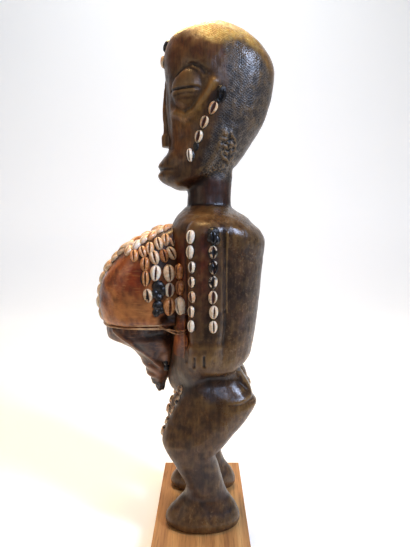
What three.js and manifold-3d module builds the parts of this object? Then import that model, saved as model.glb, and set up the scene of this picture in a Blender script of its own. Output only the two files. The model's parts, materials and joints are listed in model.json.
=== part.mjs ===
// A carved wooden power figure on a low board, with a leather charge on its belly and rows of cowries.
// Millimetres. The figure faces -Y, its left side is +X, and +Z is up. The origin is the middle of the
// board's underside.
import * as THREE from "three";
import { mergeVertices } from "three/addons/utils/BufferGeometryUtils.js";
import Module from "manifold-3d";

const wasm = await Module();
wasm.setup();

// Driving dimensions
const BOARD_DEPTH = 122;
const BOARD_WIDTH = 206;
const BOARD_THICKNESS = 28;
const FIGURE_HEIGHT = 648.5;
const GAP = 0.3;

const SOLE = BOARD_THICKNESS + GAP;
const CROWN = BOARD_THICKNESS + FIGURE_HEIGHT;
const ARM_REACH = 80;
const STANCE = 43;

// Cowries: a money cowrie is about 16 mm long
const COWRIE_LENGTH = 16;
const COWRIE_WIDTH = 10.6;
const COWRIE_RISE = 4.2;
const COWRIE_SIDES = 8;
const COWRIE_BANDS = 4;
const BALL_SIDES = 12;
const BALL_BANDS = 8;
// Flat facets round a form, by how thick it is
const SIDES = { broad: 24, hanging: 18, leg: 16, limb: 14, small: 12 };

const ARM_ROW = { count: 7, top: 403.6, bottom: 297.4 };
const ARM_COLUMNS = { front: { y: -10.6, lean: 0.03 }, outer: { y: 14.3, lean: 0 } };
// Down the cheek from the temple: how far back and how high each shell sits, and its lean from upright
const CHEEK_SHELLS = [
  { y: 24.6, z: 571, lean: 0.12 },
  { y: 14.5, z: 556.2, lean: 0.42 },
  { y: 4, z: 540.6, lean: 0.36 },
  { y: -2.4, z: 524.6, lean: 0.28 },
  { y: -13.2, z: 503.4, lean: -0.1 },
];
const THIGH_SHELLS = { count: 5, top: 205, bottom: 150.5, x: 36, length: 14.4 };
const FOREHEAD_SHELLS = { x: 0.5, heights: [648, 629] };
// A shell's seat is where a straight line from this far outside meets the carving
const OUTSIDE = 200;

// Each form is a stack of sections from bottom to top. A section says how far the form reaches to the front
// and to the back, its half width, the middle of its width, how square it is, where 2 is an ellipse, and how
// much higher its back lies than its front.
const TORSO = [
  { z: 209, front: -20, back: 38, half: 44, rise: 20 },
  { z: 213.5, front: -30, back: 50, half: 58, rise: 20 },
  { z: 222, front: -37, back: 57.5, half: 64, rise: 17 },
  { z: 240, front: -41, back: 66, half: 66, rise: 10 },
  { z: 280, front: -40, back: 72.5, half: 66, rise: 3 },
  { z: 333, front: -42, back: 78, half: 66 },
  { z: 374, front: -44, back: 82, half: 69 },
  { z: 398, front: -44, back: 84, half: 74 },
  { z: 411, front: -42, back: 78, half: 75, square: 2.3 },
  { z: 421, front: -38, back: 67.5, half: 70, square: 2.2 },
  { z: 430, front: -33, back: 59.5, half: 58, square: 2.1 },
  { z: 437, front: -27, back: 48, half: 43, square: 2 },
  { z: 443, front: -21, back: 40, half: 30, square: 2 },
];
const LOWER_BELLY = [
  { z: 189.5, front: -30, back: -14, half: 11, square: 2 },
  { z: 193, front: -36.5, back: -6, half: 21, square: 2 },
  { z: 199, front: -42.5, back: 0, half: 29, square: 2 },
  { z: 207, front: -46, back: 5, half: 35, square: 2 },
  { z: 222, front: -47, back: 10, half: 42, square: 2.1 },
  { z: 246, front: -42, back: 10, half: 48, square: 2.2 },
];
const NECK = [
  { z: 436, front: -20, back: 41, half: 30, square: 2 },
  { z: 450, front: -18.5, back: 39.5, half: 28, square: 2 },
  { z: 478, front: -18, back: 40.5, half: 28, square: 2 },
  { z: 500, front: -16, back: 42, half: 29, square: 2 },
];
const HEAD = [
  { z: 464, front: -26, back: 38, half: 27, square: 2, rise: 27 },
  { z: 468, front: -38, back: 43, half: 33, square: 2, rise: 27 },
  { z: 476, front: -45.5, back: 49, half: 38.5, square: 2.1, rise: 25 },
  { z: 490, front: -45, back: 56.5, half: 43, square: 2.1, rise: 21 },
  { z: 512, front: -42.5, back: 67, half: 47, square: 2.1, rise: 15 },
  { z: 543, front: -43.5, back: 80, half: 51.5, square: 2.15, rise: 5 },
  { z: 574, front: -45.5, back: 89, half: 56, square: 2.15 },
  { z: 601, front: -46, back: 94, half: 58.5, square: 2.15 },
  { z: 622, front: -48, back: 92.5, half: 58, square: 2.1 },
  { z: 638, front: -47, back: 83, half: 53.5, square: 2.1 },
  { z: 653, front: -40, back: 69.5, half: 45.5, square: 2.05 },
  { z: 664, front: -26, back: 54, half: 34, square: 2 },
  { z: 671.5, front: -10, back: 38, half: 21, square: 2 },
  { z: CROWN - 1, front: 4, back: 24, half: 9, square: 2 },
];
const NOSE = [
  { z: 521, front: -51.5, back: -20, half: 8.5, square: 3 },
  { z: 534, front: -52, back: -20, half: 9, square: 3 },
  { z: 541, front: -49.5, back: -20, half: 6.5, square: 2.6 },
  { z: 575, front: -50.5, back: -20, half: 5.2, square: 2.6 },
  { z: 604, front: -47.5, back: -20, half: 4.2, square: 2.6 },
];
const MUZZLE = [
  { z: 467, front: -36, back: -10, half: 20, square: 2 },
  { z: 476, front: -47.5, back: -10, half: 29, square: 2 },
  { z: 488, front: -50, back: -10, half: 32, square: 2 },
  { z: 502, front: -48, back: -10, half: 33, square: 2 },
  { z: 514, front: -41, back: -10, half: 32, square: 2 },
  { z: 522, front: -34, back: -10, half: 27, square: 2 },
];
const LIPS = [
  { z: 471, front: -45, back: -20, half: 24, square: 2 },
  { z: 478, front: -54.5, back: -20, half: 26, square: 2 },
  { z: 484, front: -57.3, back: -20, half: 26.5, square: 2 },
  { z: 490, front: -53.8, back: -20, half: 25.5, square: 2 },
  { z: 496, front: -57, back: -20, half: 26, square: 2 },
  { z: 504, front: -51, back: -20, half: 25, square: 2 },
  { z: 515, front: -42.5, back: -20, half: 19, square: 2 },
];
const ARM = [
  { z: 238, front: -12, back: 18, half: 8, middle: 59 },
  { z: 246, front: -16, back: 25, half: 11, middle: 61 },
  { z: 266, front: -17, back: 27, half: 13, middle: 63 },
  { z: 276, front: -14, back: 27, half: 12.5, middle: 63.5 },
  { z: 300, front: -15, back: 29, half: 14.5, middle: 64 },
  { z: 350, front: -16, back: 30, half: 16, middle: ARM_REACH - 16 },
  { z: 395, front: -18, back: 31, half: 17, middle: ARM_REACH - 17 },
  { z: 411, front: -17, back: 30.5, half: 17.5, middle: 62 },
  { z: 420, front: -13, back: 27, half: 16, middle: 58 },
  { z: 426, front: -6, back: 21, half: 11, middle: 53 },
];
const LEG = [
  { z: SOLE, front: -42, back: 45, half: 24, middle: STANCE, square: 2 },
  { z: 31.5, front: -46.5, back: 49.5, half: 27.5, middle: STANCE, square: 2 },
  { z: 39, front: -47, back: 51, half: 28.5, middle: STANCE, square: 2 },
  { z: 47, front: -42.5, back: 48.5, half: 26.5, middle: 42, square: 2 },
  { z: 56, front: -34, back: 43.5, half: 22.5, middle: 41, square: 2 },
  { z: 66, front: -23.5, back: 35.5, half: 19, middle: 40 },
  { z: 76, front: -20, back: 31, half: 19.5, middle: 40 },
  { z: 88, front: -23, back: 27.5, half: 20.5, middle: 40 },
  { z: 104, front: -32, back: 23, half: 22, middle: 40 },
  { z: 121, front: -42, back: 18.5, half: 24.5, middle: 40 },
  { z: 133, front: -48.5, back: 28.5, half: 26.5, middle: 39.5 },
  { z: 145, front: -50.5, back: 38.5, half: 28, middle: 39 },
  { z: 170, front: -41.5, back: 60, half: 30, middle: 37, square: 2.3 },
  { z: 190, front: -31, back: 72, half: 31, middle: 35, square: 2.3 },
  { z: 200, front: -27, back: 67.5, half: 31, middle: 34, square: 2.3 },
  { z: 214, front: -22, back: 63, half: 30, middle: 33 },
  { z: 232, front: -18, back: 52, half: 28, middle: 32 },
];
const POUCH = [
  { z: 291.3, front: -129, back: -12, half: 53, square: 2.3 },
  { z: 296, front: -133, back: -12, half: 57, square: 2.4 },
  { z: 306, front: -135.5, back: -12, half: 59.5, square: 2.4 },
  { z: 322, front: -137, back: -12, half: 61, square: 2.4 },
  { z: 345, front: -133, back: -12, half: 62, square: 2.4 },
  { z: 366, front: -123, back: -12, half: 61, square: 2.4 },
  { z: 383, front: -109, back: -12, half: 58, square: 2.3 },
  { z: 396, front: -92, back: -12, half: 54, square: 2.2 },
  { z: 406, front: -71, back: -12, half: 48, square: 2.1 },
  { z: 416, front: -49, back: -12, half: 38, square: 2 },
];
const FLAP = [
  { z: 190, front: -59, back: -53, half: 4, square: 2 },
  { z: 197, front: -64, back: -50, half: 8, square: 2 },
  { z: 206, front: -69.5, back: -47.5, half: 12, square: 2 },
  { z: 219, front: -75.5, back: -42, half: 18, square: 2 },
  { z: 236, front: -82, back: -33, half: 24.5, square: 2 },
  { z: 247, front: -89, back: -30, half: 30, square: 2 },
  { z: 257, front: -100, back: -30, half: 36, square: 2.1 },
  { z: 265, front: -114, back: -30, half: 42, square: 2.2 },
  { z: 270, front: -125, back: -30, half: 46, square: 2.3 },
  { z: 279, front: -127.5, back: -30, half: 49, square: 2.3 },
  { z: 290.8, front: -127, back: -30, half: 50.5, square: 2.3 },
];
const STRAP = [
  { z: 253, front: -36, back: -20, half: 2, middle: 54, square: 2.6 },
  { z: 264, front: -36, back: -18.5, half: 3, middle: 55, square: 2.6 },
  { z: 275, front: -33, back: -18, half: 3.6, middle: 55.5, square: 2.6 },
  { z: 282, front: -28.5, back: -19.5, half: 4, middle: 56, square: 2.4 },
  { z: 289, front: -30, back: -19.5, half: 5.4, middle: 57, square: 2.2 },
  { z: 296, front: -28.5, back: -20, half: 4, middle: 56.5, square: 2.4 },
  { z: 309, front: -28.5, back: -19, half: 4, middle: 57.5, square: 3 },
];
const THONG = { z: 291, radius: 2.2, front: -130.5, back: -9, half: 54.5, past: 0.35, sides: 6, steps: 24 };

const EYE = { x: 38, y: -17, z: 583, long: 20, tall: 20, deep: 14.5, turn: 0.82 };
const EAR = { x: 44, y: 33, z: 513.5, deep: 8.5, tall: 15, out: 7 };

const WOOD = { color: 0x4b3626, roughness: 0.5, metalness: 0 };
const SHELL = { color: 0xe6cdb2, roughness: 0.3, metalness: 0 };
const HIDE = { color: 0xa8673a, roughness: 0.45, metalness: 0 };
const DARK_HIDE = { color: 0x5a3520, roughness: 0.5, metalness: 0 };
const BOARD_WOOD = { color: 0xb07a4a, roughness: 0.6, metalness: 0 };

// A closed geometry as a solid that can be joined and cut. Points closer than the weld become one.
const WELD = 1e-4;

function solidOf(geometry) {
  const bare = geometry.clone();
  bare.deleteAttribute("normal");
  bare.deleteAttribute("uv");
  const merged = mergeVertices(bare, WELD);
  return new wasm.Manifold(
    new wasm.Mesh({
      numProp: 3,
      vertProperties: new Float32Array(merged.attributes.position.array),
      triVerts: new Uint32Array(merged.index.array),
    }),
  );
}

function geometryOf(solid) {
  const mesh = solid.getMesh();
  const geometry = new THREE.BufferGeometry();
  geometry.setAttribute("position", new THREE.BufferAttribute(mesh.vertProperties, 3));
  geometry.setIndex(new THREE.BufferAttribute(mesh.triVerts, 1));
  geometry.computeVertexNormals();
  return geometry;
}

// The sections with every value named. Skin makes the form stand out further on every side by that much.
function sectionsOf(stations, skin) {
  const sections = stations.map(({ z, front, back, half, middle = 0, square = 2.4, rise = 0 }) => ({
    z, front: front - skin, back: back + skin, half: half + skin, middle, square, rise,
  }));
  sections[0].z -= skin;
  sections.at(-1).z += skin;
  return sections;
}

const bulge = (value, square) => Math.sign(value) * Math.abs(value) ** (2 / square);

// A stack of sections as one closed form, with flat ends.
function loft(stations, { sides, skin = 0 }) {
  const sections = sectionsOf(stations, skin);
  const points = [];
  for (const s of sections) {
    const centre = (s.front + s.back) / 2;
    const depth = (s.back - s.front) / 2;
    for (let j = 0; j < sides; j += 1) {
      const angle = (j / sides) * Math.PI * 2;
      const across = bulge(Math.cos(angle), s.square);
      const along = bulge(Math.sin(angle), s.square);
      points.push(s.middle + s.half * across, centre + depth * along, s.z + (s.rise * (1 + along)) / 2);
    }
  }
  const ends = [sections[0], sections.at(-1)];
  for (const end of ends) points.push(end.middle, (end.front + end.back) / 2, end.z + end.rise / 2);
  const low = sections.length * sides;
  const top = (sections.length - 1) * sides;
  const faces = [];
  for (let j = 0; j < sides; j += 1) {
    const next = (j + 1) % sides;
    for (let ring = 0; ring < top; ring += sides) {
      faces.push(ring + j, ring + next, ring + sides + j);
      faces.push(ring + next, ring + sides + next, ring + sides + j);
    }
    faces.push(low, next, j, low + 1, top + j, top + next);
  }
  const geometry = new THREE.BufferGeometry();
  geometry.setAttribute("position", new THREE.Float32BufferAttribute(points, 3));
  geometry.setIndex(faces);
  return geometry;
}

function ellipsoid(radii, turn, place) {
  const geometry = new THREE.SphereGeometry(1, BALL_SIDES, BALL_BANDS);
  geometry.scale(...radii);
  geometry.rotateZ(turn);
  geometry.translate(...place);
  return geometry;
}

const mirrored = (stations, side) => stations.map((s) => ({ ...s, middle: side * s.middle }));

// The whole carving as one solid. With a skin it is the space that its neighbours keep clear of.
function carving(skin) {
  const forms = [
    loft(TORSO, { sides: SIDES.broad, skin }),
    loft(LOWER_BELLY, { sides: SIDES.limb, skin }),
    loft(NECK, { sides: SIDES.leg, skin }),
    loft(HEAD, { sides: SIDES.broad, skin }),
    loft(NOSE, { sides: SIDES.small, skin }),
    loft(MUZZLE, { sides: SIDES.small, skin }),
    loft(LIPS, { sides: SIDES.limb, skin }),
  ];
  for (const side of [1, -1]) {
    forms.push(loft(mirrored(ARM, side), { sides: SIDES.limb, skin }));
    forms.push(loft(mirrored(LEG, side), { sides: SIDES.leg, skin }));
    const eye = [EYE.deep + skin, EYE.long + skin, EYE.tall + skin];
    forms.push(ellipsoid(eye, -side * EYE.turn, [side * EYE.x, EYE.y, EYE.z]));
    const ear = [EAR.out + skin, EAR.deep + skin, EAR.tall + skin];
    forms.push(ellipsoid(ear, 0, [side * EAR.x, EAR.y, EAR.z]));
  }
  return forms.map(solidOf).reduce((whole, form) => whole.add(form));
}

// Where a line from a point meets the carving, and which way the surface faces there.
function seatOn(carved, from, direction) {
  const [hit] = new THREE.Raycaster(from, direction).intersectObject(carved);
  return { point: hit.point, normal: hit.face.normal.clone() };
}

// A shell lying on the surface, its length down the surface and leaning by an angle.
function cowrie({ point, normal }, lean, length = COWRIE_LENGTH) {
  const along = new THREE.Vector3(0, 0, 1).projectOnPlane(normal).normalize();
  along.applyAxisAngle(normal, lean);
  const across = new THREE.Vector3().crossVectors(along, normal);
  const geometry = new THREE.SphereGeometry(1, COWRIE_SIDES, COWRIE_BANDS);
  geometry.scale(COWRIE_WIDTH / 2, length / 2, COWRIE_RISE);
  geometry.applyMatrix4(new THREE.Matrix4().makeBasis(across, along, normal).setPosition(point));
  return solidOf(geometry);
}

function thong() {
  const { z, radius, front, back, half, past, sides, steps } = THONG;
  const square = POUCH[0].square;
  const points = [];
  for (let i = 0; i <= steps; i += 1) {
    const angle = Math.PI - past + (i / steps) * (Math.PI + 2 * past);
    const y = (front + back) / 2 + ((back - front) / 2) * bulge(Math.sin(angle), square);
    points.push(new THREE.Vector3(half * bulge(Math.cos(angle), square), y, z));
  }
  const section = new THREE.Shape();
  for (let i = 0; i < sides; i += 1) {
    const angle = (i / sides) * Math.PI * 2;
    const at = [radius * Math.cos(angle), radius * Math.sin(angle)];
    if (i === 0) section.moveTo(...at);
    else section.lineTo(...at);
  }
  const extrudePath = new THREE.CatmullRomCurve3(points);
  return new THREE.ExtrudeGeometry(section, { steps, bevelEnabled: false, extrudePath });
}

const figureGroup = new THREE.Group();
const materials = new Map();

function addNode(name, geometry, look) {
  if (!materials.has(look)) materials.set(look, new THREE.MeshStandardMaterial(look));
  const mesh = new THREE.Mesh(geometry, materials.get(look));
  mesh.name = name;
  figureGroup.add(mesh);
  return mesh;
}

const board = new THREE.BoxGeometry(BOARD_WIDTH, BOARD_DEPTH, BOARD_THICKNESS);
addNode("plinth", board, BOARD_WOOD).position.z = BOARD_THICKNESS / 2;

const carved = addNode("figure", geometryOf(carving(0)), WOOD);
const envelope = carving(GAP);

const pouch = solidOf(loft(POUCH, { sides: SIDES.broad })).subtract(envelope);
const pouchSpace = solidOf(loft(POUCH, { sides: SIDES.broad, skin: GAP }));
addNode("leather_pouch", geometryOf(pouch), HIDE);

const flap = solidOf(loft(FLAP, { sides: SIDES.hanging })).subtract(envelope);
const flapSpace = solidOf(loft(FLAP, { sides: SIDES.hanging, skin: GAP }));
addNode("leather_flap", geometryOf(flap), DARK_HIDE);

const leather = envelope.add(pouchSpace).add(flapSpace);
addNode("tie_thong", geometryOf(solidOf(thong()).subtract(leather)), DARK_HIDE);

for (const [name, side] of [["left", 1], ["right", -1]]) {
  const strap = solidOf(loft(mirrored(STRAP, side), { sides: SIDES.small })).subtract(leather);
  addNode("side_strap_" + name, geometryOf(strap), HIDE);

  const inward = new THREE.Vector3(-side, 0, 0);
  const seatBeside = (y, z) => seatOn(carved, new THREE.Vector3(side * OUTSIDE, y, z), inward);
  const addCowrie = (label, number, seat, lean, length) => {
    const shell = cowrie(seat, lean, length).subtract(envelope);
    addNode(`cowrie_${label}_${number}`, geometryOf(shell), SHELL);
  };

  for (const [column, { y, lean }] of Object.entries(ARM_COLUMNS)) {
    for (let i = 0; i < ARM_ROW.count; i += 1) {
      const z = THREE.MathUtils.lerp(ARM_ROW.top, ARM_ROW.bottom, i / (ARM_ROW.count - 1));
      addCowrie(`arm_${name}_${column}`, i + 1, seatBeside(y, z), side * lean);
    }
  }
  CHEEK_SHELLS.forEach(({ y, z, lean }, i) => {
    addCowrie(`cheek_${name}`, i + 1, seatBeside(y, z), -side * lean);
  });
  for (let i = 0; i < THIGH_SHELLS.count; i += 1) {
    const z = THREE.MathUtils.lerp(THIGH_SHELLS.top, THIGH_SHELLS.bottom, i / (THIGH_SHELLS.count - 1));
    const from = new THREE.Vector3(side * THIGH_SHELLS.x, -OUTSIDE, z);
    const seat = seatOn(carved, from, new THREE.Vector3(0, 1, 0));
    addCowrie(`thigh_${name}`, i + 1, seat, 0, THIGH_SHELLS.length);
  }
}

FOREHEAD_SHELLS.heights.forEach((z, i) => {
  const from = new THREE.Vector3(FOREHEAD_SHELLS.x, -OUTSIDE, z);
  const seat = seatOn(carved, from, new THREE.Vector3(0, 1, 0));
  const shell = cowrie(seat, 0).subtract(envelope);
  addNode("cowrie_forehead_" + (i + 1), geometryOf(shell), SHELL);
});

export default figureGroup;
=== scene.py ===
"""The looks of a carved power figure: worn wood, a hide charge, cowries in dark resin and a board.

Sizes are in millimetres and MM turns them into metres. The figure faces -Y, its left side is +X, +Z is up.
"""
import json
import math
from collections import namedtuple
from functools import partial

import bmesh
import bpy
import numpy as np
from mathutils import Matrix, Vector, noise
from mathutils.bvhtree import BVHTree

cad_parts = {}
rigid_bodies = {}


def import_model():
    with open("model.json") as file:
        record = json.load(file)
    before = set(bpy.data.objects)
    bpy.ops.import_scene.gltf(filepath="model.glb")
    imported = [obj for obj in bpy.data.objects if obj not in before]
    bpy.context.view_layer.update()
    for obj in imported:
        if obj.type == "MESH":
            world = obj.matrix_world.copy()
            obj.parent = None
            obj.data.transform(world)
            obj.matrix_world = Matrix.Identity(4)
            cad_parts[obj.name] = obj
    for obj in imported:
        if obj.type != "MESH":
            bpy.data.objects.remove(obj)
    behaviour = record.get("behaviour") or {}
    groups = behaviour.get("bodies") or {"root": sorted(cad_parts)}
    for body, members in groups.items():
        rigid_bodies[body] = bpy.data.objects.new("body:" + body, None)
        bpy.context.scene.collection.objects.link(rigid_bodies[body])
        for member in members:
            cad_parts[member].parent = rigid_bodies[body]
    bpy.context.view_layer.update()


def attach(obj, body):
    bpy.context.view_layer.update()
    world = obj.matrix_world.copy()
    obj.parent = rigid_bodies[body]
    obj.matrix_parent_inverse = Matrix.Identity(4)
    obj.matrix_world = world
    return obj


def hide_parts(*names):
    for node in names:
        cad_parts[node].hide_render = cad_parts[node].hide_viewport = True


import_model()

MM = 0.001
SEED = 7

# Camera: level with the chest, square to the figure's left side, looking slightly down
CAMERA_FAR = 568.4
CAMERA_HIGH = 405.7
CAMERA_ASIDE = 5
PITCH_DEG = 5.2
LENS = 27.7
SENSOR = 36

BOARD_THICK = 28
SOLE = BOARD_THICK + 0.3
CROWN = 676.5

# A section of a form: its height, how far it reaches to the front and back, its half width, the middle of
# its width, how square it is (2 is an ellipse) and how much higher its back lies than its front
Section = namedtuple("Section", "z front back half middle square rise", defaults=(0, 2.4, 0))

TORSO = [
    Section(209, -20, 38, 44, rise=20),
    Section(213.5, -30, 50, 58, rise=20),
    Section(222, -37, 57.5, 64, rise=17),
    Section(240, -41, 66, 66, rise=10),
    Section(280, -40, 72.5, 66, rise=3),
    Section(333, -42, 78, 66),
    Section(374, -44, 82, 69),
    Section(398, -44, 84, 74),
    Section(411, -42, 78, 75, square=2.3),
    Section(421, -38, 67.5, 70, square=2.2),
    Section(430, -33, 59.5, 58, square=2.1),
    Section(437, -27, 48, 43, square=2),
    Section(443, -21, 40, 30, square=2),
]
LOWER_BELLY = [
    Section(189.5, -30, -14, 11, square=2),
    Section(193, -36.5, -6, 21, square=2),
    Section(199, -42.5, 0, 29, square=2),
    Section(207, -46, 5, 35, square=2),
    Section(222, -47, 10, 42, square=2.1),
    Section(246, -42, 10, 48, square=2.2),
]
NECK = [
    Section(436, -20, 41, 30, square=2),
    Section(450, -18.5, 39.5, 28, square=2),
    Section(478, -18, 40.5, 28, square=2),
    Section(500, -16, 42, 29, square=2),
]
HEAD = [
    Section(464, -26, 38, 27, square=2, rise=27),
    Section(468, -38, 43, 33, square=2, rise=27),
    Section(476, -45.5, 49, 38.5, square=2.1, rise=25),
    Section(490, -45, 56.5, 43, square=2.1, rise=21),
    Section(512, -42.5, 67, 47, square=2.1, rise=15),
    Section(543, -43.5, 80, 51.5, square=2.15, rise=5),
    Section(574, -45.5, 89, 56, square=2.15),
    Section(601, -46, 94, 58.5, square=2.15),
    Section(622, -48, 92.5, 58, square=2.1),
    Section(638, -47, 83, 53.5, square=2.1),
    Section(653, -40, 69.5, 45.5, square=2.05),
    Section(664, -26, 54, 34, square=2),
    Section(671.5, -10, 38, 21, square=2),
    Section(CROWN - 1, 4, 24, 9, square=2),
]
NOSE = [
    Section(521, -51.5, -20, 8.5, square=3),
    Section(534, -52, -20, 9, square=3),
    Section(541, -49.5, -20, 6.5, square=2.6),
    Section(575, -50.5, -20, 5.2, square=2.6),
    Section(604, -47.5, -20, 4.2, square=2.6),
]
MUZZLE = [
    Section(467, -36, -10, 20, square=2),
    Section(476, -47.5, -10, 29, square=2),
    Section(488, -50, -10, 32, square=2),
    Section(502, -48, -10, 33, square=2),
    Section(514, -41, -10, 32, square=2),
    Section(522, -34, -10, 27, square=2),
]
LIPS = [
    Section(471, -45, -20, 24, square=2),
    Section(478, -54.5, -20, 26, square=2),
    Section(484, -57.3, -20, 26.5, square=2),
    Section(490, -53.8, -20, 25.5, square=2),
    Section(496, -57, -20, 26, square=2),
    Section(504, -51, -20, 25, square=2),
    Section(515, -42.5, -20, 19, square=2),
]
ARM = [
    Section(238, -12, 18, 8, 59),
    Section(246, -16, 25, 11, 61),
    Section(266, -17, 27, 13, 63),
    Section(276, -14, 27, 12.5, 63.5),
    Section(300, -15, 29, 14.5, 64),
    Section(350, -16, 30, 16, 64),
    Section(395, -18, 31, 17, 63),
    Section(411, -17, 30.5, 17.5, 62),
    Section(420, -13, 27, 16, 58),
    Section(426, -6, 21, 11, 53),
]
LEG = [
    Section(SOLE, -42, 45, 24, 43, 2),
    Section(31.5, -46.5, 49.5, 27.5, 43, 2),
    Section(39, -47, 51, 28.5, 43, 2),
    Section(47, -42.5, 48.5, 26.5, 42, 2),
    Section(56, -34, 43.5, 22.5, 41, 2),
    Section(66, -23.5, 35.5, 19, 40),
    Section(76, -20, 31, 19.5, 40),
    Section(88, -23, 27.5, 20.5, 40),
    Section(104, -32, 23, 22, 40),
    Section(121, -42, 18.5, 24.5, 40),
    Section(133, -48.5, 28.5, 26.5, 39.5),
    Section(145, -50.5, 38.5, 28, 39),
    Section(170, -41.5, 60, 30, 37, 2.3),
    Section(190, -31, 72, 31, 35, 2.3),
    Section(200, -27, 67.5, 31, 34, 2.3),
    Section(214, -22, 63, 30, 33),
    Section(232, -18, 52, 28, 32),
]
POUCH = [
    Section(291.3, -129, -12, 53, square=2.3),
    Section(296, -133, -12, 57, square=2.4),
    Section(306, -135.5, -12, 59.5, square=2.4),
    Section(322, -137, -12, 61, square=2.4),
    Section(345, -133, -12, 62, square=2.4),
    Section(366, -123, -12, 61, square=2.4),
    Section(383, -109, -12, 58, square=2.3),
    Section(396, -92, -12, 54, square=2.2),
    Section(406, -71, -12, 48, square=2.1),
    Section(416, -49, -12, 38, square=2),
]
FLAP = [
    Section(190, -59, -53, 4, square=2),
    Section(197, -64, -50, 8, square=2),
    Section(206, -69.5, -47.5, 12, square=2),
    Section(219, -75.5, -42, 18, square=2),
    Section(236, -82, -33, 24.5, square=2),
    Section(247, -89, -30, 30, square=2),
    Section(257, -100, -30, 36, square=2.1),
    Section(265, -114, -30, 42, square=2.2),
    Section(270, -125, -30, 46, square=2.3),
    Section(279, -127.5, -30, 49, square=2.3),
    Section(290.8, -127, -30, 50.5, square=2.3),
]
STRAP = [
    Section(253, -36, -18, 2, middle=54, square=2.6),
    Section(264, -36, -16, 3, middle=55, square=2.6),
    Section(275, -34.5, -15.5, 3.6, middle=55.5, square=2.6),
    Section(282, -31, -17.5, 4, middle=56),
    Section(289, -30, -19.5, 5.4, middle=57, square=2.2),
    Section(296, -29.5, -18.5, 4, middle=56.5),
    Section(309, -30, -17.5, 4, middle=57.5, square=3),
]

# A money cowrie
SHELL_LONG, SHELL_WIDE, SHELL_HIGH = 16, 10.6, 5
THIGH_SHELL_LONG = 14.4
WHOLE, OPEN, BROKEN, SLENDER = range(4)

# The shells beside the face: how far back, how high, lean, kind, how orange and how sooty
CHEEK_SHELLS = [
    (24.6, 571, 0.12, OPEN, 0.5, 0.75),
    (14.5, 556.2, 0.42, OPEN, 0.35, 0.2),
    (4, 540.6, 0.36, OPEN, 0.3, 0.1),
    (-2.4, 524.6, 0.28, OPEN, 0.2, 0),
    (-13.2, 503.4, -0.1, SLENDER, 0.1, 0),
]
# The two columns on the arm, from the top: in front how orange, size and kind, and behind how sooty and kind
ARM_FRONT_Y, ARM_OUTER_Y = -10.6, 14.3
ARM_ROW_HEIGHTS = np.linspace(403.6, 297.4, 7)
ARM_SHELLS = [
    (0, 1, WHOLE, 1, WHOLE),
    (0.1, 1, WHOLE, 0.48, OPEN),
    (0.15, 0.92, OPEN, 0.6, OPEN),
    (0.3, 0.86, OPEN, 0.4, BROKEN),
    (0.35, 0.86, OPEN, 0.3, OPEN),
    (0.25, 0.92, OPEN, 0, WHOLE),
    (0.05, 0.95, WHOLE, 0, WHOLE),
]
THIGH_X = 36
THIGH_ROW_HEIGHTS = np.linspace(205, 150.5, 5)
THIGH_SUNK = 1.6
# The two on the forehead: how high, kind and how sooty
FOREHEAD_SHELLS = [(648, OPEN, 0.7), (629, WHOLE, 0.2)]

# Lumps of resin beside the shells: how far back, how high, and half their width, length and height
CHEEK_LUMPS = [(24.5, 575.5, 6, 6, 4.2), (20, 564, 4.5, 5, 3), (-6, 513.5, 4, 6, 1.6)]
ARM_LUMPS = [(15, 409, 7.5, 6.5, 4.6), (11.5, 402, 4.5, 5, 4.5), (18, 400, 5, 6, 4), (13.5, 369, 5, 5, 3.4)]
CHARGE_LUMPS = [
    (-52, 344, 8, 7, 4.5),
    (-47, 338, 5, 7, 5),
    (-56, 335, 5, 6, 4.5),
    (-52, 330, 6, 5, 5.5),
    (-53, 320, 7, 6, 4.5),
    (-49, 314, 5, 5, 4.5),
    (-55, 311, 5, 6, 3.5),
]
FLAP_LUMPS = [(-45, 229, 4.5, 5.5, 3.2), (-47, 237, 3.5, 4, 2.6)]

# From this far out, lines are drawn inward to find a surface
OUTSIDE = 200


# Meshes

def spaced(stations, per_span):
    """Rows of section values on a smooth curve through the named ones."""
    table = np.array(stations, float)
    padded = np.vstack([2 * table[0] - table[1], table, 2 * table[-1] - table[-2]])
    rows = []
    for a, b, c, d in zip(padded, padded[1:], padded[2:], padded[3:]):
        for t in np.arange(per_span) / per_span:
            bend = (2 * a - 5 * b + 4 * c - d) * t * t + (3 * b - a - 3 * c + d) * t ** 3
            rows.append(0.5 * (2 * b + (c - a) * t + bend))
    return np.array(rows + [table[-1]])


def bulge(value, square):
    return np.sign(value) * np.abs(value) ** (2 / square)


def ring_faces(sides, rows, turned=False):
    """The faces of a stack of rings whose points are followed by the two that close its ends."""
    low, top = rows * sides, (rows - 1) * sides
    faces = []
    for j in range(sides):
        k = (j + 1) % sides
        faces += [(r + j, r + k, r + sides + k, r + sides + j) for r in range(0, top, sides)]
        faces += [(low, k, j), (low + 1, top + j, top + k)]
    return [(face[0], *face[:0:-1]) for face in faces] if turned else faces


def loft(stations, side=1, sides=72, per_span=6):
    """A stack of sections as one closed form: its points in millimetres and its faces."""
    rows = spaced(stations, per_span)
    z, front, back, half, middle, square, rise = rows.T[:, :, None]
    angle = np.arange(sides) * 2 * math.pi / sides
    across, along = bulge(np.cos(angle), square), bulge(np.sin(angle), square)
    x = side * middle + half * across
    y = (front + back) / 2 + (back - front) / 2 * along
    rings = np.stack([x, y, z + rise * (1 + along) / 2], axis=2)
    ends = rings[[0, -1]].mean(axis=1)
    return np.vstack([rings.reshape(-1, 3), ends]), ring_faces(sides, len(rows))


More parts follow.
